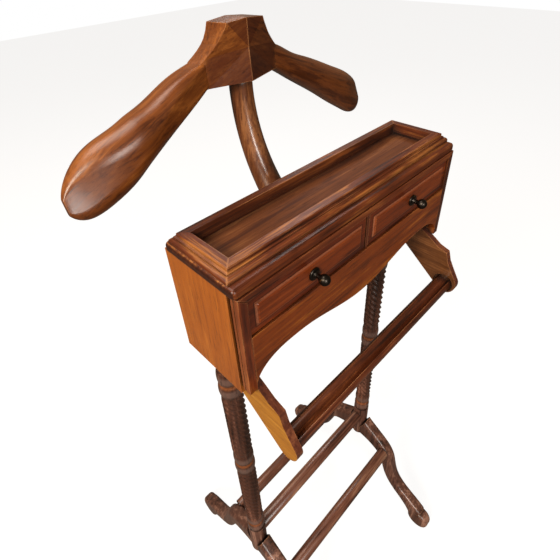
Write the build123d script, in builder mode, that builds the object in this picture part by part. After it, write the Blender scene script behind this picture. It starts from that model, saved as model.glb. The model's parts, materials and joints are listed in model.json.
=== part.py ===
"""Valet stand: coat hanger, case with two drawers and a tray, trouser bar and turned base.

Millimetres. +Z is up, -Y is the front and X runs along the case. The origin is on the floor,
midway between the two columns.
"""
import os
from math import cos, pi, sin

from build123d import *

os.makedirs("parts", exist_ok=True)

# ---------------------------------------------------------------- driving dimensions
# case
case_half = 202.5  # half of the case's outside width
panel = 12.0  # thickness of the side panels
inner_half = case_half - panel
case_back = 33.8
back_thickness = 10.0
case_bottom = 841.5
case_top = 994.5
frame_front = -83.3  # front plane of the face frame
frame_back = -68.1
frame_half = 201.5
stile_bottom = 852.0
opening_top = 985.5
opening_bottom = 936.0
board = 10.0  # thickness of the board under the drawers
divider = 5.0

# tray on top of the case
rim_top = 1017.7
rim_half = 194.7
rim_front = -64.2
rim_back = 17.6
rim_width = 10.7
tray_floor_top = 1001.7
moulding_step = 7.0  # how far the foot of the moulding stands out past the rim
cap_top = 1005.0  # cap board between the case and the moulding
cap_half = 204.0
cap_front = -81.5
cap_back = 31.0
cap_round = 4.6  # rounding of its upper edges

# drawers
slide_gap = 0.3
front_gap = 1.1  # round the drawer fronts
front_thickness = 14.0
field_border = 9.5
field_height = 2.3
side_thickness = 8.0
drawer_side_top = 978.0
drawer_back_y = 18.0
bottom_z = 940.0
bottom_thickness = 4.0
knob_x = 98.5
knob_z = 959.5
knob_reach = 14.5  # face of the drawer to the middle of the ball

# trouser bar and its brackets
bracket_thickness = 10.0
bar_y = -118.5
bar_z = 776.5
bar_radius = 13.6
bar_recess = 16.5
bar_tenon = 8.0

# columns, hubs, legs and rails
column_x = 175.3
hub_bottom = 193.0
hub_top = 297.0
hub_radius = 17.2
bead_radius = 17.0
bead_height = 27.0
bead_pairs = (558.5, 771.0)  # heights of the waist between the two beads of each pair
twist_radius = 15.9
twist_end_radius = 14.0
column_neck_radius = 13.5
column_tenon = 10.0
leg_width = 29.0
rail_radius = 12.5
rail_tenon = 7.0
rail_y = 82.6
rail_z = 198.0
centre_rail_z = 270.0

# neck and hanger
neck_radius = 15.75  # at the hanger
neck_foot_radius = 21.5
neck_y = 132.2
neck_bend = 232.0  # radius of the neck's curve
neck_bend_z = 1100.0
neck_tenon = 9.0
hanger_bottom = 1106.5
dowel_radius = 4.0
dowel_half = 20.0
dowel_z = 1164.0
screw_radius = 1.8
screw_head_radius = 4.0

sides = (("left", -1), ("right", 1))
ends = (("front", -1), ("back", 1))


def side_plane(x):
    """Plane seen from the side: its first axis is Y and its second is Z."""
    return Plane.YZ.offset(x)


def turning_plane(x, y=0.0):
    """Upright plane through a turned part's axis: radius across, height up."""
    return Plane(origin=(x, y, 0), x_dir=(1, 0, 0), z_dir=(0, -1, 0))


def block(x0, x1, y0, y1, z0, z1, mode=Mode.ADD):
    """Board between two corners, given in any order."""
    low = (min(x0, x1), min(y0, y1), min(z0, z1))
    size = (abs(x1 - x0), abs(y1 - y0), abs(z1 - z0))
    with Locations(low):
        Box(*size, align=(Align.MIN, Align.MIN, Align.MIN), mode=mode)


def rod_x(x0, x1, y, z, radius, mode=Mode.ADD):
    """Round rod along X."""
    with BuildSketch(side_plane(min(x0, x1))) as section:
        with Locations((y, z)):
            Circle(radius)
    extrude(section.sketch, amount=abs(x1 - x0), mode=mode)


def rod_y(x, z, y0, y1, radius, mode=Mode.ADD):
    """Round rod along Y, from y0 to y1 with y0 the lower."""
    with BuildSketch(Plane(origin=(x, y0, z), x_dir=(1, 0, 0), z_dir=(0, 1, 0))) as section:
        Circle(radius)
    extrude(section.sketch, amount=y1 - y0, mode=mode)


def rod_z(x, y, z0, z1, radius, mode=Mode.ADD):
    """Round rod along Z."""
    with BuildSketch(Plane.XY.offset(z0)) as section:
        with Locations((x, y)):
            Circle(radius)
    extrude(section.sketch, amount=z1 - z0, mode=mode)


def finish(builder, label):
    """Label the finished piece and write it."""
    builder.part.label = label
    export_step(builder.part, f"parts/{label}.step")


# ---------------------------------------------------------------- case
bracket_screw_spots = ((-55.0, 882.0), (-35.0, 896.0), (-35.0, 862.0))
bracket_screw_tip = inner_half + 8.0
neck_screw_x = 7.0
neck_screw_z = 914.0
neck_screw_tip = 50.0
back_inside = case_back - back_thickness

for side, sign in sides:
    with BuildPart() as side_panel:
        block(sign * inner_half, sign * case_half, frame_back, case_back, case_bottom, case_top)
        for y, z in bracket_screw_spots:
            rod_x(sign * inner_half, sign * bracket_screw_tip, y, z, screw_radius, Mode.SUBTRACT)
    finish(side_panel, f"side_panel_{side}")

with BuildPart() as back_panel:
    block(-inner_half, inner_half, back_inside, case_back, case_bottom, case_top)
    for x in (-neck_screw_x, neck_screw_x):
        rod_y(x, neck_screw_z, back_inside, case_back, screw_radius, Mode.SUBTRACT)
        rod_y(x, neck_screw_z, back_inside, back_inside + 3, screw_head_radius, Mode.SUBTRACT)
finish(back_panel, "back_panel")

with BuildPart() as top_board:
    block(-inner_half, inner_half, frame_back, back_inside, opening_top, case_top)
finish(top_board, "top_board")

with BuildPart() as drawer_board:
    block(-inner_half, inner_half, frame_back, back_inside, opening_bottom - board, opening_bottom)
    for x in (-column_x, column_x):
        rod_z(x, 0, opening_bottom - board, opening_bottom, column_tenon, Mode.SUBTRACT)
finish(drawer_board, "drawer_board")

with BuildPart() as drawer_divider:
    block(-divider / 2, divider / 2, frame_back, back_inside, opening_bottom, opening_top)
    block(-divider / 2, divider / 2, frame_front + 1.5, frame_back, opening_bottom, opening_top)
finish(drawer_divider, "drawer_divider")

# face frame: two stiles mitred to a top rail, with a shadow groove at the side panels
groove_depth = 3.0
groove_width = 3.4
quirk = 1.2  # small vee worked along the side of each stile


def frame_prism(points, y0=frame_front, y1=frame_back, mode=Mode.ADD):
    """Board with the given outline in X and Z, between two depths."""
    with BuildSketch(Plane(origin=(0, y1, 0), x_dir=(1, 0, 0), z_dir=(0, -1, 0))) as outline:
        with BuildLine():
            Polyline(*points, close=True)
        make_face()
    extrude(outline.sketch, amount=y1 - y0, mode=mode)


for side, sign in sides:
    with BuildPart() as stile:
        frame_prism(
            [
                (sign * inner_half, stile_bottom),
                (sign * frame_half, stile_bottom),
                (sign * frame_half, case_top),
                (sign * inner_half, opening_top),
            ]
        )
        block(
            sign * (frame_half - groove_depth),
            sign * frame_half,
            frame_back - groove_width,
            frame_back,
            stile_bottom,
            case_top,
            Mode.SUBTRACT,
        )
        with BuildSketch(Plane.XY.offset(stile_bottom)):
            with Locations((sign * frame_half, (frame_front + frame_back) / 2)):
                Rectangle(quirk, quirk, rotation=45)
        extrude(amount=case_top - stile_bottom, mode=Mode.SUBTRACT)
    finish(stile, f"stile_{side}")

with BuildPart() as top_rail:
    frame_prism(
        [
            (-inner_half, opening_top),
            (inner_half, opening_top),
            (frame_half, case_top),
            (-frame_half, case_top),
        ]
    )
finish(top_rail, "top_rail")

# apron: a shallow centre drop between two arches
apron_arch_x = 130.0
apron_middle = 878.5
apron_wave = 10.5
apron_end = 862.0
wave_points = []
for step in range(-6, 7):
    wave_x = apron_arch_x * step / 6
    wave_points.append((wave_x, apron_middle - apron_wave * cos(pi * wave_x / apron_arch_x)))
apron_right = [(168, 884.5), (184, 874.0), (inner_half, apron_end)]
apron_left = [(-x, z) for x, z in reversed(apron_right)]

with BuildPart() as apron:
    with BuildSketch(Plane(origin=(0, frame_back, 0), x_dir=(1, 0, 0), z_dir=(0, -1, 0))):
        with BuildLine():
            Spline(*apron_left, *wave_points, *apron_right)
            Polyline(
                (inner_half, apron_end),
                (inner_half, opening_bottom),
                (-inner_half, opening_bottom),
                (-inner_half, apron_end),
            )
        make_face()
    extrude(amount=frame_back - frame_front)
finish(apron, "apron")

# ---------------------------------------------------------------- tray
rim_middle_y = (rim_front + rim_back) / 2
inner_x = rim_half - rim_width
inner_y = (rim_back - rim_front) / 2 - rim_width


with BuildPart() as cap_board:
    block(-cap_half, cap_half, cap_front, cap_back, case_top, cap_top)
    fillet(cap_board.edges().filter_by(Axis.Z), 5.0)
    fillet(cap_board.edges().group_by(Axis.Z)[-1], cap_round)
    fillet(cap_board.edges().group_by(Axis.Z)[0], 1.5)
    block(-inner_x, inner_x, rim_middle_y - inner_y, rim_middle_y + inner_y, case_top, cap_top, Mode.SUBTRACT)
finish(cap_board, "cap_board")


def moulding_outline():
    """Section of the tray moulding: distance out from the tray opening, and height."""
    foot = rim_width + moulding_step
    Polyline((rim_width, rim_top - 1), (rim_width - 1, rim_top), (0, rim_top), (0, cap_top))
    Polyline((0, cap_top), (foot, cap_top), (foot, cap_top + 1.6))
    RadiusArc((foot, cap_top + 1.6), (foot - 4.6, cap_top + 6.4), -5.0)
    Polyline(
        (foot - 4.6, cap_top + 6.4),
        (foot - 4.6, cap_top + 8.0),
        (rim_width, cap_top + 8.8),
        (rim_width, rim_top - 1),
    )


def mitre(x_sign, y_sign):
    """Keep the quarter of the tray between two 45 degree mitres."""
    far = 40.0
    corner_x = inner_x + far
    corner_y = inner_y + far
    if x_sign:
        points = [
            (x_sign * inner_x, inner_y),
            (x_sign * corner_x, corner_y),
            (x_sign * corner_x, -corner_y),
            (x_sign * inner_x, -inner_y),
        ]
    else:
        points = [
            (inner_x, y_sign * inner_y),
            (corner_x, y_sign * corner_y),
            (-corner_x, y_sign * corner_y),
            (-inner_x, y_sign * inner_y),
        ]
    with BuildSketch(Plane(origin=(0, rim_middle_y, cap_top))) as quarter:
        with BuildLine():
            Polyline(*points, close=True)
        make_face()
    extrude(quarter.sketch, amount=rim_top - cap_top, mode=Mode.INTERSECT)


for side, sign in sides:
    with BuildPart() as tray_moulding:
        start = Plane(origin=(sign * inner_x, rim_middle_y, 0), x_dir=(sign, 0, 0), z_dir=(0, -sign, 0))
        with BuildSketch(start):
            with BuildLine():
                moulding_outline()
            make_face()
        extrude(amount=inner_y + 30, both=True)
        mitre(sign, 0)
    finish(tray_moulding, f"tray_moulding_{side}")

for end, sign in ends:
    with BuildPart() as tray_moulding:
        origin = (0, rim_middle_y + sign * inner_y, 0)
        with BuildSketch(Plane(origin=origin, x_dir=(0, sign, 0), z_dir=(sign, 0, 0))):
            with BuildLine():
                moulding_outline()
            make_face()
        extrude(amount=inner_x + 30, both=True)
        mitre(0, sign)
    finish(tray_moulding, f"tray_moulding_{end}")

with BuildPart() as tray_floor:
    block(
        -inner_x,
        inner_x,
        rim_middle_y - inner_y,
        rim_middle_y + inner_y,
        case_top,
        tray_floor_top,
    )
finish(tray_floor, "tray_floor")

# ---------------------------------------------------------------- drawers
front_inner = divider / 2 + front_gap
front_outer = inner_half - front_gap
front_bottom = opening_bottom + slide_gap
front_top = opening_top - front_gap
front_back = frame_front + front_thickness
border_face = frame_front + field_height
box_inner = front_inner + 2
box_outer = front_outer - 2
groove = side_thickness / 2
knob_screw_radius = 1.6
knob_screw_tip = frame_front - 9

for side, sign in sides:
    with BuildPart() as drawer_front:
        block(sign * front_inner, sign * front_outer, border_face, front_back, front_bottom, front_top)
        width = front_outer - front_inner - 2 * field_border
        height = front_top - front_bottom - 2 * field_border
        middle = (sign * (front_inner + front_outer) / 2, (front_bottom + front_top) / 2)
        with BuildSketch(Plane(origin=(0, border_face, 0), x_dir=(1, 0, 0), z_dir=(0, -1, 0))):
            with Locations(middle):
                Rectangle(width, height)
        with BuildSketch(Plane(origin=(0, frame_front, 0), x_dir=(1, 0, 0), z_dir=(0, -1, 0))):
            with Locations(middle):
                Rectangle(width - 2 * field_height, height - 2 * field_height)
        loft(ruled=True)
        block(
            sign * (box_inner + groove),
            sign * (box_outer - groove),
            front_back - groove,
            front_back,
            bottom_z,
            bottom_z + bottom_thickness,
            Mode.SUBTRACT,
        )
        rod_y(sign * knob_x, knob_z, frame_front, front_back, knob_screw_radius, Mode.SUBTRACT)
    finish(drawer_front, f"drawer_front_{side}")

    # the two sides of one drawer box share a node
    with BuildPart() as drawer_box:
        for edge, inward in ((box_inner, 1), (box_outer, -1)):
            block(
                sign * edge,
                sign * (edge + inward * side_thickness),
                front_back,
                drawer_back_y,
                front_bottom + 0.2,
                drawer_side_top,
            )
            block(
                sign * (edge + inward * groove),
                sign * (edge + inward * side_thickness),
                front_back,
                drawer_back_y,
                bottom_z,
                bottom_z + bottom_thickness,
                Mode.SUBTRACT,
            )
    finish(drawer_box, f"drawer_sides_{side}")

    with BuildPart() as drawer_back:
        block(
            sign * (box_inner + side_thickness),
            sign * (box_outer - side_thickness),
            drawer_back_y - side_thickness,
            drawer_back_y,
            bottom_z + bottom_thickness,
            drawer_side_top,
        )
    finish(drawer_back, f"drawer_back_{side}")

    with BuildPart() as drawer_bottom:
        block(
            sign * (box_inner + groove),
            sign * (box_outer - groove),
            front_back - groove,
            drawer_back_y,
            bottom_z,
            bottom_z + bottom_thickness,
        )
    finish(drawer_bottom, f"drawer_bottom_{side}")

    # turned knob: flange, slim neck and ball, on a screw from inside the drawer
    flange_radius = 8.0
    stem_radius = 2.9
    ball_radius = 6.75
    knob_plane = Plane(origin=(sign * knob_x, frame_front, knob_z), x_dir=(1, 0, 0), z_dir=(0, 0, -1))
    ball_start = knob_reach - (ball_radius**2 - stem_radius**2) ** 0.5
    with BuildPart() as knob:
        with BuildSketch(knob_plane):
            with BuildLine():
                Polyline((0, 0), (flange_radius, 0), (flange_radius, 1.2), (flange_radius - 1, 2))
                Line((flange_radius - 1, 2), (stem_radius + 1.5, 2.6))
                Line((stem_radius + 1.5, 2.6), (stem_radius, 4.5))
                Line((stem_radius, 4.5), (stem_radius, ball_start))
                ThreePointArc(
                    (stem_radius, ball_start),
                    (ball_radius, knob_reach),
                    (0, knob_reach + ball_radius),
                )
                Line((0, knob_reach + ball_radius), (0, 0))
            make_face()
        revolve(axis=Axis((sign * knob_x, frame_front, knob_z), (0, 1, 0)))
        rod_y(sign * knob_x, knob_z, knob_screw_tip, frame_front, knob_screw_radius, Mode.SUBTRACT)
    finish(knob, f"knob_{side}")

    with BuildPart() as knob_screw:
        rod_y(sign * knob_x, knob_z, knob_screw_tip, front_back, knob_screw_radius)
        rod_y(sign * knob_x, knob_z, front_back, front_back + 2, screw_head_radius)
    finish(knob_screw, f"knob_screw_{side}")

# ---------------------------------------------------------------- brackets and trouser bar
bracket_outline = [
    (-66.0, 905.0),
    (-66.0, 861.5),
    (-84.0, 850.5),
    (-99.0, 840.5),
    (-114.5, 835.5),
    (-119.5, 819.0),
    (-127.5, 805.0),
    (-137.0, 789.0),
]
tip_middle = (-139.5, 778.0)
tip_low = (-128.5, 760.5)
tip_back = (-113.0, 761.5)
bracket_back = [(-45.0, 818.5), (-20.0, 842.0), (-20.0, 905.0), (-66.0, 905.0)]
bracket_inside = inner_half - bracket_thickness
tenon_end = inner_half - 2.0
recess_end = bracket_inside + 3.0

for side, sign in sides:
    with BuildPart() as bracket:
        with BuildSketch(side_plane(min(sign * bracket_inside, sign * inner_half))):
            with BuildLine():
                Polyline(*bracket_outline)
                Spline(bracket_outline[-1], tip_middle, tip_low, tip_back)
                Polyline(tip_back, *bracket_back)
            make_face()
        extrude(amount=bracket_thickness)
        rod_x(sign * bracket_inside, sign * recess_end, bar_y, bar_z, bar_recess, Mode.SUBTRACT)
        rod_x(sign * recess_end, sign * tenon_end, bar_y, bar_z, bar_tenon, Mode.SUBTRACT)
        for y, z in bracket_screw_spots:
            rod_x(sign * bracket_inside, sign * inner_half, y, z, screw_radius, Mode.SUBTRACT)
            rod_x(
                sign * bracket_inside,
                sign * (bracket_inside + 3),
                y,
                z,
                screw_head_radius,
                Mode.SUBTRACT,
            )
    finish(bracket, f"bracket_{side}")

with BuildPart() as bracket_screws:
    for side, sign in sides:
        for y, z in bracket_screw_spots:
            rod_x(sign * (bracket_inside + 3), sign * bracket_screw_tip, y, z, screw_radius)
            rod_x(sign * bracket_inside, sign * (bracket_inside + 3), y, z, screw_head_radius)
finish(bracket_screws, "bracket_screws")

# round bar, hollowed along its top between the brackets
hollow_radius = 9.5
hollow_offset = 15.3
hollow_lean = 9 * pi / 180  # the hollow leans towards the front
with BuildPart() as trouser_bar:
    rod_x(-recess_end, recess_end, bar_y, bar_z, bar_radius)
    hollow_y = bar_y - hollow_offset * sin(hollow_lean)
    hollow_z = bar_z + hollow_offset * cos(hollow_lean)
    rod_x(-recess_end, recess_end, hollow_y, hollow_z, hollow_radius, Mode.SUBTRACT)
    for sign in (-1, 1):
        rod_x(sign * recess_end, sign * tenon_end, bar_y, bar_z, bar_tenon)
finish(trouser_bar, "trouser_bar")

# ---------------------------------------------------------------- columns and base
hub_socket_bottom = hub_top - 14.0
rail_depth = 11.0
tenon_half = 5.0
tenon_low = 206.0
tenon_high = 240.0
tenon_reach = 11.0


def bead(z_low, z_high, radius, core):
    """One rounded bead on a turned column."""
    ThreePointArc((core, z_low), (radius, (z_low + z_high) / 2), (core, z_high))


def twist_length(z_low, z_high):
    """Outline of a rope twist stretch, drawn in at both ends."""
    ease = 9.0
    ThreePointArc(
        (twist_end_radius, z_low),
        (twist_radius - 0.8, z_low + ease / 2),
        (twist_radius, z_low + ease),
    )
    Line((twist_radius, z_low + ease), (twist_radius, z_high - ease))
    ThreePointArc(
        (twist_radius, z_high - ease),
        (twist_radius - 0.8, z_high - ease / 2),
        (twist_end_radius, z_high),
    )


first_pair = hub_top + bead_height
for side, sign in sides:
    with BuildPart() as column:
        with BuildSketch(turning_plane(sign * column_x)):
            with BuildLine():
                Polyline((0, hub_socket_bottom), (column_tenon, hub_socket_bottom), (column_tenon, hub_top))
                Line((column_tenon, hub_top), (twist_end_radius, hub_top))
                height = hub_top
                for waist in (first_pair, *bead_pairs):
                    if waist != first_pair:
                        twist_length(height, waist - bead_height)
                    bead(waist - bead_height, waist, bead_radius, twist_end_radius)
                    bead(waist, waist + bead_height, bead_radius - 0.5, twist_end_radius)
                    height = waist + bead_height
                Polyline(
                    (twist_end_radius, height),
                    (column_neck_radius, height + 2),
                    (column_neck_radius, opening_bottom - board),
                    (column_tenon, opening_bottom - board),
                    (column_tenon, opening_bottom),
                    (0, opening_bottom),
                    (0, hub_socket_bottom),
                )
            make_face()
        revolve(axis=Axis((sign * column_x, 0, 0), (0, 0, 1)))
    finish(column, f"column_{side}")

    inward = -sign
    with BuildPart() as hub:
        with BuildSketch(turning_plane(sign * column_x)):
            with BuildLine():
                Line((0, hub_bottom), (hub_radius - 7, hub_bottom))
                RadiusArc((hub_radius - 7, hub_bottom), (hub_radius, hub_bottom + 7), -7.0)
                Polyline((hub_radius, hub_bottom + 7), (hub_radius, hub_top), (0, hub_top), (0, hub_bottom))
            make_face()
        revolve(axis=Axis((sign * column_x, 0, 0), (0, 0, 1)))
        rod_z(sign * column_x, 0, hub_socket_bottom, hub_top, column_tenon, Mode.SUBTRACT)
        rail_face = sign * column_x + inward * hub_radius
        rod_x(rail_face, rail_face - inward * rail_depth, 0, centre_rail_z, rail_tenon, Mode.SUBTRACT)
        for end, way in ends:
            block(
                sign * column_x - tenon_half,
                sign * column_x + tenon_half,
                way * (hub_radius - tenon_reach),
                way * (hub_radius + 1),
                tenon_low,
                tenon_high,
                Mode.SUBTRACT,
            )
    finish(hub, f"hub_{side}")

# middle line of one leg in the side view: distance out from the column, height and thickness
leg_line = [
    (10.0, 226.0, 58.0),
    (28.0, 218.0, 49.0),
    (45.0, 211.0, 42.0),
    (62.0, 202.0, 38.0),
    (78.0, 189.5, 35.0),
    (89.0, 172.0, 32.0),
    (96.0, 149.0, 30.0),
    (104.5, 123.0, 28.5),
    (118.0, 99.5, 27.0),
    (138.0, 80.5, 26.0),
    (162.0, 64.0, 29.0),
    (178.0, 52.0, 35.0),
    (190.0, 40.0, 42.0),
]
leg_rounding = 9.0
foot_radius = 26.0
foot_y = 200.5
foot_z = 24.0  # below the radius, so that the foot has a flat pad on the floor
for end, way in ends:
    for side, sign in sides:
        with BuildPart() as leg:
            with BuildSketch(side_plane(sign * column_x)):
                with Locations((way * foot_y, foot_z)):
                    Circle(foot_radius)
            extrude(amount=leg_width / 2, both=True)
            fillet(leg.edges().filter_by(GeomType.CIRCLE), leg_rounding)
            for index, (out, height, thickness) in enumerate(leg_line):
                before = leg_line[max(index - 1, 0)]
                after = leg_line[min(index + 1, len(leg_line) - 1)]
                along = (0, way * (after[0] - before[0]), after[1] - before[1])
                origin = (sign * column_x, way * out, height)
                with BuildSketch(Plane(origin=origin, x_dir=(1, 0, 0), z_dir=along)):
                    RectangleRounded(leg_width, thickness, leg_rounding)
            loft()
            block(-300, 300, -300, 300, -20, 0, Mode.SUBTRACT)
            rod_z(sign * column_x, 0, hub_bottom - 5, hub_top, hub_radius, Mode.SUBTRACT)
            block(
                sign * column_x - hub_radius - 5,
                sign * column_x + hub_radius + 5,
                -way * 40,
                0,
                hub_bottom - 5,
                hub_top,
                Mode.SUBTRACT,
            )
            block(
                sign * column_x - tenon_half,
                sign * column_x + tenon_half,
                way * (hub_radius - tenon_reach),
                way * (hub_radius + 2),
                tenon_low,
                tenon_high,
            )
            leg_face = sign * (column_x - leg_width / 2)
            rod_x(leg_face, leg_face + sign * rail_depth, way * rail_y, rail_z, rail_tenon, Mode.SUBTRACT)
        finish(leg, f"leg_{end}_{side}")

for end, way in ends:
    with BuildPart() as rail:
        reach = column_x - leg_width / 2
        rod_x(-reach, reach, way * rail_y, rail_z, rail_radius)
        rod_x(-reach - rail_depth, reach + rail_depth, way * rail_y, rail_z, rail_tenon)
    finish(rail, f"rail_{end}")

with BuildPart() as rail_centre:
    rod_x(-column_x, column_x, 0, centre_rail_z, rail_radius)
    for sign in (-1, 1):
        rod_z(sign * column_x, 0, hub_bottom, hub_top, hub_radius, Mode.SUBTRACT)
    reach = column_x - hub_radius + rail_depth
    rod_x(-reach, reach, 0, centre_rail_z, rail_tenon)
finish(rail_centre, "rail_centre")

# ---------------------------------------------------------------- neck
neck_angle = 60.0  # how far the neck leans where it meets the case
neck_sections = 7
bend_y = neck_y - neck_bend
with BuildPart() as neck:
    for step in range(neck_sections):
        share = step / (neck_sections - 1)
        lean = neck_angle * share * pi / 180
        origin = (0, bend_y + neck_bend * cos(lean), neck_bend_z - neck_bend * sin(lean))
        swell = share**1.5 * (neck_foot_radius - neck_radius)
        with BuildSketch(Plane(origin=origin, x_dir=(1, 0, 0), z_dir=(0, -sin(lean), -cos(lean)))):
            Circle(neck_radius + swell)
    loft()
    rod_z(0, neck_y, neck_bend_z, hanger_bottom, neck_radius)
    rod_z(0, neck_y, hanger_bottom, hanger_bottom + 36, neck_tenon)
    block(-60, 60, -100, case_back, 800, 1000, Mode.SUBTRACT)
    for x in (-neck_screw_x, neck_screw_x):
        rod_y(x, neck_screw_z, case_back, neck_screw_tip, screw_radius, Mode.SUBTRACT)
finish(neck, "neck")

with BuildPart() as neck_screws:
    for x in (-neck_screw_x, neck_screw_x):
        rod_y(x, neck_screw_z, back_inside + 3, neck_screw_tip, screw_radius)
        rod_y(x, neck_screw_z, back_inside, back_inside + 3, screw_head_radius)
finish(neck_screws, "neck_screws")

# ---------------------------------------------------------------- hanger
# faceted block, one half: the seam outline, then points (X, Y, Z) outwards along its four long edges
seam_top, hollow, seam_foot = (0, 109.0, 1180.0), (0, 109.5, 1147.0), (0, 106.5, 1106.5)
seam_back_top, seam_back_foot = (0, 150.0, 1179.0), (0, 150.0, 1106.5)
front_shoulder = [
    (28.5, 112.0, 1177.5), (31.5, 113.2, 1171.0), (36.0, 115.3, 1164.0), (41.0, 117.6, 1156.5),
    (48.0, 120.5, 1149.0), (56.0, 124.0, 1141.5), (64.0, 127.5, 1135.0),
]
back_shoulder = [
    (28.5, 151.0, 1176.0), (31.5, 151.0, 1167.0), (36.0, 151.0, 1158.5), (41.0, 151.0, 1152.5),
    (48.0, 151.0, 1146.5), (56.0, 151.0, 1141.0), (64.0, 151.0, 1136.0),
]
front_foot = [(56.0, 124.8, 1106.5), (64.0, 128.5, 1105.0)]
back_foot = [(56.0, 151.0, 1106.5), (64.0, 151.0, 1105.0)]
# arm: distance along, middle in Y and Z, height, depth, corner radius and backward lean; the two
# halves are carved by hand, so they differ by a few millimetres
arm_stations = {
    "left": [
        (46.0, 138.5, 1128.5, 30.0, 26.0, 4.0, 0.0),
        (60.0, 138.5, 1120.3, 34.0, 29.0, 5.5, 0.0),
        (75.0, 139.0, 1112.8, 39.6, 34.0, 8.0, -0.5),
        (100.0, 139.8, 1100.0, 47.5, 42.0, 13.5, 0.0),
        (130.0, 139.8, 1083.0, 52.5, 54.0, 22.0, 2.0),
        (160.0, 138.0, 1068.0, 62.0, 58.0, 26.0, 2.5),
        (190.0, 139.5, 1052.0, 71.0, 53.0, 25.0, 7.0),
        (215.0, 141.0, 1041.5, 71.5, 44.0, 21.5, 12.0),
        (237.0, 139.0, 1032.5, 58.0, 29.0, 14.2, 17.0),
        (250.0, 135.5, 1029.0, 38.0, 17.0, 8.2, 20.0),
        (256.0, 133.0, 1028.0, 21.0, 9.0, 4.3, 21.0),
    ],
    "right": [
        (46.0, 139.5, 1129.0, 30.0, 25.0, 6.0, 0.0),
        (60.0, 140.0, 1121.5, 34.5, 29.5, 9.0, -2.0),
        (75.0, 141.5, 1114.0, 37.5, 36.0, 13.0, -4.0),
        (100.0, 141.3, 1099.0, 40.0, 43.0, 18.0, -3.0),
        (130.0, 140.3, 1083.5, 46.5, 48.5, 21.5, -0.5),
        (160.0, 139.0, 1067.5, 53.5, 50.5, 24.0, 2.0),
        (190.0, 136.0, 1050.0, 61.0, 46.5, 22.5, 5.0),
        (215.0, 133.0, 1036.0, 66.5, 38.0, 18.5, 9.0),
        (233.0, 132.5, 1027.0, 65.0, 30.0, 14.5, 14.0),
        (246.0, 134.0, 1025.5, 50.0, 24.0, 11.7, 19.0),
        (253.0, 135.5, 1025.5, 34.0, 17.0, 8.2, 22.0),
        (256.0, 136.0, 1025.5, 19.0, 9.0, 4.3, 23.0),
    ],
}
dowel_spots = (118.0, 138.0)


def carved_block(sign):
    """Solid half of the hanger's middle, bounded by the carved facets."""
    facets = [
        (seam_top, hollow, seam_foot, seam_back_foot, seam_back_top),
        (seam_top, front_shoulder[0], hollow),
        (hollow, front_shoulder[-2], front_foot[0]),
        (hollow, front_foot[0], seam_foot),
        (seam_top, seam_back_top, front_shoulder[0]),
        (front_shoulder[0], seam_back_top, back_shoulder[0]),
        (seam_back_foot, seam_back_top, back_shoulder[0]),
        (seam_back_foot, back_shoulder[-2], back_foot[0]),
        (seam_foot, front_foot[0], back_foot[0], seam_back_foot),
        (front_shoulder[-1], back_shoulder[-1], back_foot[-1], front_foot[-1]),
    ]
    for k in range(len(front_shoulder) - 2):
        facets.append((hollow, front_shoulder[k], front_shoulder[k + 1]))
        facets.append((seam_back_foot, back_shoulder[k], back_shoulder[k + 1]))
    ribbons = [(front_shoulder, back_shoulder), (front_shoulder[-2:], front_foot)]
    ribbons += [(back_shoulder[-2:], back_foot), (front_foot, back_foot)]
    for one, other in ribbons:
        for k in range(len(one) - 1):
            facets.append((one[k], other[k], other[k + 1]))
            facets.append((one[k], other[k + 1], one[k + 1]))
    faces = [Face(Wire.make_polygon([(sign * x, y, z) for x, y, z in facet])) for facet in facets]
    add(Solid(Shell(faces)))


for side, sign in sides:
    with BuildPart() as hanger_half:
        carved_block(sign)
        for along, y, z, height, depth, corner, lean in arm_stations[side]:
            with BuildSketch(side_plane(sign * along)):
                with Locations(Location((y, z), -lean)):
                    RectangleRounded(depth, height, corner)
        loft()
        rod_z(0, neck_y, hanger_bottom - 10, hanger_bottom + 36, neck_tenon, Mode.SUBTRACT)
        for y in dowel_spots:
            rod_x(0, sign * dowel_half, y, dowel_z, dowel_radius, Mode.SUBTRACT)
    finish(hanger_half, f"hanger_half_{side}")

with BuildPart() as hanger_dowels:
    for y in dowel_spots:
        rod_x(-dowel_half, dowel_half, y, dowel_z, dowel_radius)
finish(hanger_dowels, "hanger_dowels")
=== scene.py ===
"""Looks of the valet stand: varnished mahogany, rope-twist columns, studio light and camera."""
import json
from math import cos, pi, radians, sin

import bpy
from mathutils import Matrix, Vector


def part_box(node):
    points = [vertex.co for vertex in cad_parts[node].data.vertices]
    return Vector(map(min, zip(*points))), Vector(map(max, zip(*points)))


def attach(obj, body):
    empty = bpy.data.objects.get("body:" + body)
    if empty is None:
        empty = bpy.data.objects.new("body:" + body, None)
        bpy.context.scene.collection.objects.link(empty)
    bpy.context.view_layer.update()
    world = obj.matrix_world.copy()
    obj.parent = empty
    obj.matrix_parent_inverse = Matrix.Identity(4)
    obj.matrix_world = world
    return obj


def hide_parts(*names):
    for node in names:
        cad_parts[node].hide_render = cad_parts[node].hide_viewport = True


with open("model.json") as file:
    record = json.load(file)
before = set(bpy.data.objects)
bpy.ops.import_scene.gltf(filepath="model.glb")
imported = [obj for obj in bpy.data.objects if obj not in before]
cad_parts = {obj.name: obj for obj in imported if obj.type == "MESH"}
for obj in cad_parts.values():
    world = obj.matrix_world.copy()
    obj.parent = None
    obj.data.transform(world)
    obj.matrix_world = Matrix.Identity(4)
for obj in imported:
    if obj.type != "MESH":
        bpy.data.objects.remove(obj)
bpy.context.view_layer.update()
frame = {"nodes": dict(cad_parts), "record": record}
nodes = frame["nodes"]
slots = {row["node"]: row["material_slot"] for row in frame["record"]["subparts"]}


# ---------------------------------------------------------------- shader helpers
def tone(code):
    """Hex colour to linear RGBA."""
    values = [int(code[i:i + 2], 16) / 255 for i in (0, 2, 4)]
    return [v / 12.92 if v <= 0.04045 else ((v + 0.055) / 1.055) ** 2.4 for v in values] + [1.0]


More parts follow.
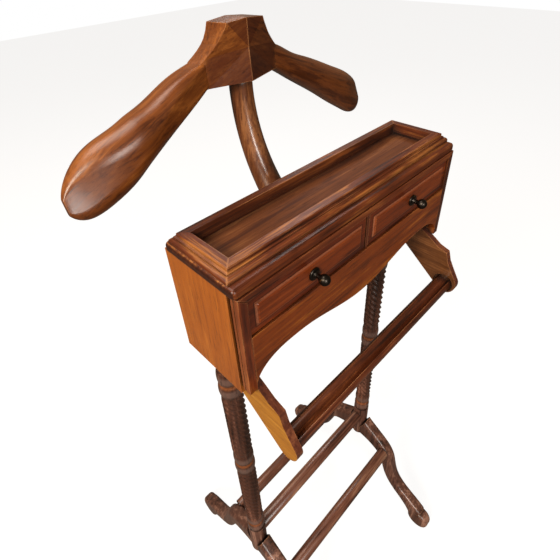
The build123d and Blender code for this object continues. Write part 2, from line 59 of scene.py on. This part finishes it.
class Shader:
    """A material's node tree with short ways to add nodes."""

    tone_places = (0.385, 0.5, 0.615)  # where a wood's dark, middle and light tones lie

    def __init__(self, name):
        self.material = bpy.data.materials.new(name)
        self.material.use_nodes = True
        self.tree = self.material.node_tree
        self.tree.nodes.clear()
        self.surface = self.add("BsdfPrincipled")
        out = self.add("OutputMaterial")
        self.tree.links.new(self.surface.outputs[0], out.inputs[0])

    def add(self, kind, settings=None, **inputs):
        node = self.tree.nodes.new("ShaderNode" + kind)
        for key, value in (settings or {}).items():
            setattr(node, key, value)
        for key, value in inputs.items():
            self.put(node.inputs[key.replace("_", " ")], value)
        return node

    def put(self, socket, value):
        """Link an output to a socket, or set the socket to a constant."""
        if isinstance(value, bpy.types.NodeSocket):
            self.tree.links.new(value, socket)
        else:
            socket.default_value = value

    def parts(self, vector):
        """X, Y and Z of a vector."""
        return self.add("SeparateXYZ", Vector=vector).outputs

    def math(self, operation, a, b=0.0, clamp=False):
        node = self.add("Math", {"operation": operation, "use_clamp": clamp})
        self.put(node.inputs[0], a)
        self.put(node.inputs[1], b)
        return node.outputs[0]

    def opposite(self, mask):
        return self.math("SUBTRACT", 1.0, mask)

    def distance(self, value, centre):
        return self.math("ABSOLUTE", self.math("SUBTRACT", value, centre))

    def steps(self, value, low, high):
        """0 below low, 1 above high, smooth between."""
        node = self.add("MapRange", {"interpolation_type": "SMOOTHSTEP"}, Value=value)
        node.inputs["From Min"].default_value = low
        node.inputs["From Max"].default_value = high
        return node.outputs[0]

    def mix(self, factor, a, b):
        node = self.add("Mix", {"data_type": "RGBA"})
        self.put(node.inputs[0], factor)
        self.put(node.inputs[6], a)
        self.put(node.inputs[7], b)
        return node.outputs[2]

    def tint(self, colour, mask, strength, code):
        """The colour, mixed with a hex tone where the mask is 1."""
        return self.mix(self.math("MULTIPLY", mask, strength), colour, tone(code))

    def grain_tones(self, value, codes):
        """Dark, middle and light tones spread over a grain value."""
        node = self.add("ValToRGB", Fac=value)
        ramp = node.color_ramp
        ramp.interpolation = "EASE"
        while len(ramp.elements) < len(codes):
            ramp.elements.new(0.5)
        for element, place, code in zip(ramp.elements, self.tone_places, codes):
            element.position = place
            element.color = tone(code)
        return node.outputs[0]

    def noise(self, vector, detail=3.0, rough=0.55, warp=0.0, scale=1.0):
        return self.add(
            "TexNoise", Vector=vector, Scale=scale, Detail=detail, Roughness=rough, Distortion=warp
        ).outputs[0]


# ---------------------------------------------------------------- wood
grain_turns = {"X": (0, 0, 0), "Y": (0, 0, pi / 2), "Z": (0, -pi / 2, 0)}
pore_dark = "1a0b06"
fleck_dark = "230e07"
# painted shade, darkest in corners and hollows
painted_hollow_shade = "140704"
# lighter edges, partly rubbed wear and partly painted highlight
edge_wear_and_highlight = "c98a58"
# painted highlight on the bevel of a drawer's raised field
painted_bevel_highlight = "b06c4c"
# painted shade line in the crease outside that bevel
painted_crease_shade = "1c0804"
# painted highlight on the crests of the column's beads
painted_bead_highlight = "8a6f66"
bead_groove_light = "9a5626"
hollow_shade_reach = 0.02
edge_reach = 0.0022


def broad_faces(s, value, colour, tones):
    """Own tones on the faces that look along X."""
    sideways = s.math("ABSOLUTE", s.parts(s.add("TexCoord").outputs["Normal"])[0])
    return s.mix(s.steps(sideways, 0.6, 0.85), colour, s.grain_tones(value, tones))


def raised_field(s, here, value, colour, box, tones):
    """Raised field of a drawer front: own tones, a painted highlight along its bevel and a painted shade
    line in the crease outside it.
    """
    left, right, bottom, top = box
    at = s.parts(here)
    across = s.math("SUBTRACT", (right - left) / 2, s.distance(at[0], (left + right) / 2))
    up = s.math("SUBTRACT", (top - bottom) / 2, s.distance(at[2], (bottom + top) / 2))
    reach_in = s.math("MINIMUM", across, up)
    inside = s.steps(reach_in, -0.0006, 0.0006)
    colour = s.mix(inside, colour, s.grain_tones(value, tones))
    bevel = s.math("MULTIPLY", s.steps(reach_in, -0.0026, -0.0018), s.opposite(inside))
    # painted highlight all round the bevel
    colour = s.tint(colour, bevel, 0.5, painted_bevel_highlight)
    # painted shade line in the crease just outside the bevel
    crease_shade_starts, crease_shade_ends = s.steps(reach_in, -0.0042, -0.0034), s.steps(reach_in, -0.0030, -0.0022)
    return s.tint(colour, s.math("SUBTRACT", crease_shade_starts, crease_shade_ends), 0.6, painted_crease_shade)


def shade_carved_facets(s, here, colour, code):
    """Painted shade on the carved front planes of the hanger's block, apart from those that look down."""
    way = s.parts(s.add("TexCoord").outputs["Normal"])
    in_block = s.opposite(s.steps(s.math("ABSOLUTE", s.parts(here)[0]), 0.05, 0.06))
    front = s.steps(s.math("MULTIPLY", way[1], -1.0), 0.8, 0.9)
    mask = s.math("MULTIPLY", s.steps(way[2], -0.05, -0.02), s.math("MULTIPLY", in_block, front))
    # painted shade on the carved front planes that look ahead, not down
    return s.tint(colour, mask, 0.6, code)


def bead_pair(s, here, colour, waist):
    """Painted highlight, greyish, on the crests of the two beads that meet at a height, and a lighter
    orange band in the groove between them.
    """
    away = s.distance(s.parts(here)[2], waist)
    crests = s.math("SUBTRACT", s.steps(away, 0.004, 0.010), s.steps(away, 0.016, 0.024))
    # painted highlight on the bead crests
    colour = s.tint(colour, crests, 0.35, painted_bead_highlight)
    return s.tint(colour, s.opposite(s.steps(away, 0.001, 0.006)), 0.5, bead_groove_light)


def hollow_shade_and_edge_marks(s, stain):
    """Masks of painted shade in corners and hollows, where little sky is open, and of edges that are
    lighter here and there, partly rubbed wear and partly painted highlight.
    """
    open_sky = s.add("AmbientOcclusion", {"samples": 6}, Distance=hollow_shade_reach).outputs["AO"]
    hollow_shade = s.opposite(s.steps(open_sky, 0.3, 0.92))
    facing = s.add("VectorMath", {"operation": "DOT_PRODUCT"})
    s.put(facing.inputs[0], s.add("NewGeometry").outputs["Normal"])
    s.put(facing.inputs[1], s.add("Bevel", {"samples": 4}, Radius=edge_reach).outputs[0])
    # edges lighter here and there: partly rubbed wear, partly painted highlight
    edge = s.opposite(s.steps(facing.outputs["Value"], 0.86, 0.992))
    edge = s.math("MULTIPLY", edge, s.steps(open_sky, 0.7, 0.95))
    edge = s.math("MULTIPLY", edge, s.steps(stain, 0.38, 0.6))
    return hollow_shade, edge


def wood(name, tones, along="X", shift=0.0, figure=1.0, shine=0.3, coat=0.4, haze=0.16,
         faces=None, field=None, facet_shade=None, waists=()):
    """Varnished mahogany in three tones, with its grain along an axis or a turn.

    shine is the roughness of the wood; coat and haze are the weight and roughness of the varnish.
    """
    s = Shader(name)
    here = s.add("TexCoord").outputs["Object"]
    turn = grain_turns.get(along, along)

    def stretched(long, cross, offset):
        """Coordinates with so many noise cells to the metre along and across the grain."""
        node = s.add("Mapping", {"vector_type": "TEXTURE"}, Vector=here)
        node.inputs["Location"].default_value = (shift + offset, 0.37 * shift - offset, 0.71 * shift)
        node.inputs["Rotation"].default_value = turn
        node.inputs["Scale"].default_value = (1 / long, 1 / cross, 1 / cross)
        return node.outputs[0]

    bands = s.noise(stretched(3.2, 30 * figure, 0.3), 4, 0.55, 1.1)
    streaks = s.noise(stretched(9, 230, 1.1), 4, 0.65, 0.5)
    pores = s.steps(s.noise(stretched(70, 1500, 2.3), 2, 0.5), 0.6, 0.7)
    flecks = s.steps(s.noise(stretched(26, 420, 3.7), 3, 0.6, 0.4), 0.58, 0.68)
    stain = s.noise(here, 3, 0.6, 0.0, 11.0)
    value = s.math("ADD", s.math("MULTIPLY", bands, 0.46), s.math("MULTIPLY", streaks, 0.4))
    value = s.math("ADD", value, s.math("MULTIPLY", stain, 0.14))

    colour = s.grain_tones(value, tones)
    if faces:
        colour = broad_faces(s, value, colour, faces)
    if field:
        colour = raised_field(s, here, value, colour, *field)
    if facet_shade:
        colour = shade_carved_facets(s, here, colour, facet_shade)
    for waist in waists:
        colour = bead_pair(s, here, colour, waist)
    colour = s.tint(colour, pores, 0.35, pore_dark)
    colour = s.tint(colour, flecks, 0.5, fleck_dark)
    hollow_shade, edge = hollow_shade_and_edge_marks(s, stain)
    # painted shade in corners and hollows, where little sky is open
    colour = s.tint(colour, hollow_shade, 0.85, painted_hollow_shade)
    # lighter edges, partly rubbed wear and partly painted highlight
    colour = s.tint(colour, edge, 0.6, edge_wear_and_highlight)
    s.put(s.surface.inputs["Base Color"], colour)

    rough = s.math("ADD", s.math("MULTIPLY", streaks, 0.22), shine - 0.06)
    rough = s.math("ADD", rough, s.math("MULTIPLY", hollow_shade, 0.25), True)
    s.put(s.surface.inputs["Roughness"], rough)
    s.surface.inputs["IOR"].default_value = 1.5
    s.surface.inputs["Specular IOR Level"].default_value = 0.3
    s.surface.inputs["Coat Weight"].default_value = coat
    s.surface.inputs["Coat Roughness"].default_value = haze

    height = s.math("SUBTRACT", s.math("MULTIPLY", streaks, 0.6), s.math("MULTIPLY", pores, 0.5))
    height = s.math("ADD", height, s.math("MULTIPLY", bands, 0.8))
    bump = s.add("Bump", Strength=0.16, Distance=0.0008, Height=height)
    s.put(s.surface.inputs["Normal"], bump.outputs[0])
    return s.material


def metal(name, body, worn, roughness, wear_low, wear_high):
    """Dark patinated metal with a lighter colour where it is rubbed."""
    s = Shader(name)
    here = s.add("TexCoord").outputs["Object"]
    patches = s.noise(here, 4, 0.6, 0.3, 160.0)
    worn_at = s.steps(patches, wear_low, wear_high)
    s.put(s.surface.inputs["Base Color"], s.mix(worn_at, tone(body), tone(worn)))
    s.surface.inputs["Metallic"].default_value = 1.0
    rough = s.math("ADD", s.math("MULTIPLY", patches, 0.25), roughness - 0.12)
    s.put(s.surface.inputs["Roughness"], rough)
    fine = s.noise(here, 2, 0.5, 0.0, 900.0)
    bump = s.add("Bump", Strength=0.12, Distance=0.0003, Height=fine)
    s.put(s.surface.inputs["Normal"], bump.outputs[0])
    return s.material


# ---------------------------------------------------------------- materials of the CAD nodes
arm_slope = radians(24)
dark_red = ("2b1008", "57230e", "8a3f1a")
stile_side = ("5e2a12", "8a461d", "aa6430")
moulding = ("260e06", "612c13", "a8682f")
# darker than the other mouldings: painted shade on the tray's back wall
shaded_back_moulding = ("1e0b05", "4c220f", "8a4c22")
bracket_edge = ("3a1a14", "5d2f20", "804a30")
base = ("28150f", "5e3c30", "9c7260")
rail = ("34190f", "6c4232", "a87c62")
column_tones = ("20100a", "4a2b1f", "7c5140")
inner = ("7a5530", "a57c4c", "c4a06e")
satin = dict(shine=0.42, coat=0.15, haze=0.3)
field_margin = 0.0105  # from the edge of a drawer front to its raised field

looks = {
    # the right half's tones and facet tone are darker than the left's: painted shade on the half turned
    # from the key lamp
    "hanger_half_left": dict(tones=("4e250e", "713b15", "925422"), along=(0, -arm_slope, 0), shift=0.2,
                             figure=0.9, coat=0.4, haze=0.26, facet_shade="4a1f12"),
    "hanger_half_right": dict(tones=("46220f", "6a3818", "8e5429"), along=(0, arm_slope, 0), shift=1.7,
                              figure=0.9, coat=0.45, haze=0.22, facet_shade="3c170d"),
    "neck": dict(tones=("3c1f10", "64371d", "8e5a33"), along="Z", shift=0.9, figure=0.8, coat=0.8,
                 haze=0.22),
    "tray_floor": dict(tones=("45210f", "663719", "8a5630"), shift=2.9, figure=1.2, shine=0.6, coat=0.0),
    "tray_moulding_front": dict(tones=moulding, shift=3.3, **satin),
    "tray_moulding_back": dict(tones=shaded_back_moulding, shift=4.1, **satin),
    "tray_moulding_left": dict(tones=moulding, along="Y", shift=5.2, **satin),
    "tray_moulding_right": dict(tones=moulding, along="Y", shift=6.4, **satin),
    "cap_board": dict(tones=moulding, shift=5.9, figure=1.6, coat=0.25, haze=0.3,
                      faces=("22100a", "36180d", "4a2412")),
    # the right panel's tones are darker than the left's: painted shade on the panel turned from the key
    # lamp
    "side_panel_left": dict(tones=("924b10", "ab5d17", "bf7026"), along="Z", shift=0.5, figure=0.6),
    "side_panel_right": dict(tones=("824010", "9a5118", "ae6526"), along="Z", shift=7.7, figure=0.6),
    "stile_left": dict(tones=dark_red, along="Z", shift=8.1, faces=stile_side),
    "stile_right": dict(tones=dark_red, along="Z", shift=8.8, faces=stile_side),
    "top_rail": dict(tones=("3a170b", "6c3013", "a05a28"), shift=9.3),
    "drawer_divider": dict(tones=dark_red, along="Z", shift=9.9),
    "apron": dict(tones=("552408", "80390d", "a85d1b"), shift=10.4),
    "back_panel": dict(tones=("3a1d10", "5f3519", "7f4d29"), shift=11.3),
    # one wood on both brackets: the left one's side tones are painted lighter where the key lamp falls,
    # the right one's painted darker as shade
    "bracket_left": dict(tones=bracket_edge, along="Y", shift=12.1, faces=("8c520f", "b4741a", "cc8e30")),
    "bracket_right": dict(tones=bracket_edge, along="Y", shift=12.9,
                          faces=("42230f", "653c1f", "875632")),
    "trouser_bar": dict(tones=("2e130a", "5c2b16", "93532f"), shift=13.6),
}
for side in ("left", "right"):
    front = f"drawer_front_{side}"
    low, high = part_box(front)
    field_box = (low.x + field_margin, high.x - field_margin, low.z + field_margin, high.z - field_margin)
    field = (field_box, ("4a1c0a", "77320f", "98481a"))
    looks[front] = dict(tones=("3a1409", "66270c", "8a3c14"), shift=14.5, field=field)
for i, name in enumerate(sorted(nodes)):
    own_shift = 15.0 + i
    if name.startswith(("leg_", "hub_")):
        looks[name] = dict(tones=base, along="Z", shift=own_shift, coat=0.7, haze=0.28)
    elif name.startswith("rail_"):
        looks[name] = dict(tones=rail, shift=own_shift, coat=0.6, haze=0.28)
    elif slots[name] == "inner_wood" and name not in looks:
        looks[name] = dict(tones=inner, shift=own_shift, shine=0.55)
bronze = metal("aged_bronze", "3a3530", "8f6f3c", 0.34, 0.6, 0.72)
steel = metal("screw_steel", "77736c", "b9b4aa", 0.35, 0.45, 0.7)


def finish_of(name):
    """Material of a CAD node."""
    if name in looks:
        return wood(f"wood_{name}", **looks[name])
    if "knob" in name and "screw" not in name:
        return bronze
    if slots[name] in ("steel", "bronze"):
        return steel
    return wood(f"wood_{name}", base, "Z")


def soften_edges(name, obj):
    """Small rounded edges; the flat bevels of the drawer fronts count as edges too."""
    weld = obj.modifiers.new("weld", "WELD")
    weld.merge_threshold = 0.00001
    soften = obj.modifiers.new("soften", "BEVEL")
    soften.width = 0.0007
    soften.segments = 2
    soften.limit_method = "ANGLE"
    soften.angle_limit = radians(9 if name.startswith("drawer_front") else 32)
    soften.harden_normals = True


for name, obj in nodes.items():
    obj.data.materials.clear()
    obj.data.materials.append(finish_of(name))
    if not name.startswith("hanger_half"):
        soften_edges(name, obj)


# ---------------------------------------------------------------- rope-twist columns
strands = 6
lead = 0.081  # height of one full turn of a strand
groove = 0.0034
tenon_radius, end_radius, neck_radius, twist_radius = 0.010, 0.0140, 0.0135, 0.0163
lower_bead_radius, upper_bead_radius = 0.0170, 0.0165
bead_height = 0.027
bead_waists = (0.5585, 0.771)
swell_blend = 0.010  # over this height a twisted stretch swells out of its end
groove_blend = 0.013  # and over this height its grooves fade in
crest_power = 0.85
shoulder = 0.00005  # half the height of a square step between two radii
ring_step = 0.0013
segments = 90


def smooth(t):
    t = min(max(t, 0.0), 1.0)
    return t * t * (3 - 2 * t)


def column_radius(z, angle, foot, top):
    """Radius of the turned and carved column at a height and an angle."""
    if z < foot or z > top:
        return tenon_radius
    waists = (foot + bead_height, *bead_waists)
    for waist in waists:
        if abs(z - waist) < bead_height:
            bead_radius = upper_bead_radius if z > waist else lower_bead_radius
            t = abs(z - waist) / bead_height
            return end_radius + (bead_radius - end_radius) * sin(pi * t) ** 0.5
    if z > waists[-1] + bead_height:
        return neck_radius
    near = min(abs(z - waist) - bead_height for waist in waists)
    swell = end_radius + (twist_radius - end_radius) * smooth(near / swell_blend)
    share = strands * (angle / (2 * pi) + z / lead)
    crest = 1 - abs(2 * (share % 1.0) - 1)
    return swell - groove * smooth(near / groove_blend) * (1 - crest ** crest_power)


def column(side):
    """Turned column with carved strands between pairs of beads, in place of the plain CAD one."""
    node = f"column_{side}"
    low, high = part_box(node)
    centre = (low + high) / 2
    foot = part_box(f"hub_{side}")[1].z
    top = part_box("drawer_board")[0].z
    count = int((top - foot) / ring_step)
    heights = [low.z, foot - shoulder, foot + shoulder]
    heights += [foot + (top - foot) * i / count for i in range(1, count)]
    heights += [top - shoulder, top + shoulder, high.z]
    heights.sort()
    verts = []
    for z in heights:
        for i in range(segments):
            angle = 2 * pi * i / segments
            r = column_radius(z, angle, foot, top)
            verts.append((centre.x + r * cos(angle), centre.y + r * sin(angle), z))
    faces = []
    for k in range(len(heights) - 1):
        a, b = k * segments, (k + 1) * segments
        for i in range(segments):
            j = (i + 1) % segments
            faces.append((a + i, a + j, b + j, b + i))
    last = (len(heights) - 1) * segments
    faces.append(tuple(range(segments - 1, -1, -1)))
    faces.append(tuple(range(last, last + segments)))
    mesh = bpy.data.meshes.new(f"twist_{side}")
    mesh.from_pydata(verts, [], faces)
    mesh.polygons.foreach_set("use_smooth", [True] * len(mesh.polygons))
    mesh.update()
    piece = bpy.data.objects.new(f"twist_{side}", mesh)
    bpy.context.scene.collection.objects.link(piece)
    waists = (*bead_waists, foot + bead_height)
    mesh.materials.append(
        wood(f"wood_twist_{side}", column_tones, "Z", shift=21.0, coat=0.6, haze=0.25, waists=waists)
    )
    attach(piece, "stand")
    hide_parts(node)


column("left")
column("right")


# ---------------------------------------------------------------- floor
floor_reach = 8.0
shade_for_camera, shade_for_light = (0.22, 0.22, 0.22, 1), (0.12, 0.1, 0.09, 1)

floor_mesh = bpy.data.meshes.new("floor")
corners = [(x * floor_reach, y * floor_reach, 0) for x, y in ((-1, -1), (1, -1), (1, 1), (-1, 1))]
floor_mesh.from_pydata(corners, [], [(0, 1, 2, 3)])
floor = bpy.data.objects.new("floor", floor_mesh)
bpy.context.scene.collection.objects.link(floor)
# pale to the camera, but dark in the varnish, which it would otherwise fill with haze
pale = Shader("pale_floor")
pale.surface.inputs["Roughness"].default_value = 0.9
pale.surface.inputs["Emission Color"].default_value = (1, 1, 1, 1)
seen_by_camera = pale.add("LightPath").outputs["Is Camera Ray"]
pale.put(pale.surface.inputs["Emission Strength"], pale.math("MULTIPLY", seen_by_camera, 0.85))
pale.put(pale.surface.inputs["Base Color"], pale.mix(seen_by_camera, shade_for_light, shade_for_camera))
floor_mesh.materials.append(pale.material)


# ---------------------------------------------------------------- light
def softbox(name, place, target, size, power, colour=(1, 1, 1)):
    light = bpy.data.lights.new(name, "AREA")
    light.shape = "RECTANGLE"
    light.size, light.size_y = size
    light.energy = power
    light.color = colour
    lamp = bpy.data.objects.new(name, light)
    bpy.context.scene.collection.objects.link(lamp)
    lamp.location = place
    lamp.rotation_euler = (Vector(target) - Vector(place)).to_track_quat("-Z", "Y").to_euler()


case_middle = (0.0, 0.0, 0.9)
hanger_middle = (0.0, 0.1, 1.1)
softbox("back_box", (1.5, 1.75, 2.75), hanger_middle, (1.0, 0.7), 17)
softbox("left_box", (-2.5, -0.55, 2.5), case_middle, (0.8, 0.9), 82, (1.0, 0.89, 0.74))
softbox("front_window", (-1.0, -2.5, 1.8), case_middle, (0.5, 1.2), 43, (0.98, 0.95, 0.9))
softbox("top_box", (-0.8, 0.9, 3.2), case_middle, (1.4, 1.4), 36, (1.0, 0.91, 0.82))


def studio_world(seen_colour, seen_strength, fill_colour, fill_strength):
    """World that shows one colour to the camera and lights the object with another."""
    world = bpy.data.worlds.new("studio")
    world.use_nodes = True
    sky = world.node_tree
    sky.nodes.clear()
    paths = sky.nodes.new("ShaderNodeLightPath")
    choose = sky.nodes.new("ShaderNodeMixShader")
    out = sky.nodes.new("ShaderNodeOutputWorld")
    sky.links.new(paths.outputs["Is Camera Ray"], choose.inputs[0])
    shades = ((fill_colour, fill_strength), (seen_colour, seen_strength))
    for place, (colour, strength) in enumerate(shades, start=1):
        shade = sky.nodes.new("ShaderNodeBackground")
        shade.inputs[0].default_value = colour
        shade.inputs[1].default_value = strength
        sky.links.new(shade.outputs[0], choose.inputs[place])
    sky.links.new(choose.outputs[0], out.inputs[0])
    return world


bpy.context.scene.world = studio_world((1, 1, 1, 1), 1.0, (1.0, 0.76, 0.52, 1), 0.2)
bpy.context.scene.view_settings.view_transform = "Standard"

# ---------------------------------------------------------------- camera
azimuth, elevation, roll = 0.7514, 0.6135, -0.0549
camera_at = (-0.35205, -0.30478, 1.26195)

forward = Vector((sin(azimuth) * cos(elevation), cos(azimuth) * cos(elevation), -sin(elevation)))
level = forward.cross(Vector((0, 0, 1))).normalized()
upright = level.cross(forward)
camera_right = cos(roll) * level + sin(roll) * upright
camera_up = -sin(roll) * level + cos(roll) * upright
camera_data = bpy.data.cameras.new("camera")
camera_data.sensor_width = 36.0
camera_data.lens = 26.9
camera_data.shift_x = 0.0007
camera_data.shift_y = -0.0987
camera_data.clip_start = 0.02
camera = bpy.data.objects.new("camera", camera_data)
bpy.context.scene.collection.objects.link(camera)
camera_frame = Matrix((camera_right, camera_up, -forward)).transposed().to_4x4()
camera_frame.translation = camera_at
camera.matrix_world = camera_frame
bpy.context.scene.camera = camera

# ---------------------------------------------------------------- scene update
bpy.context.view_layer.update()
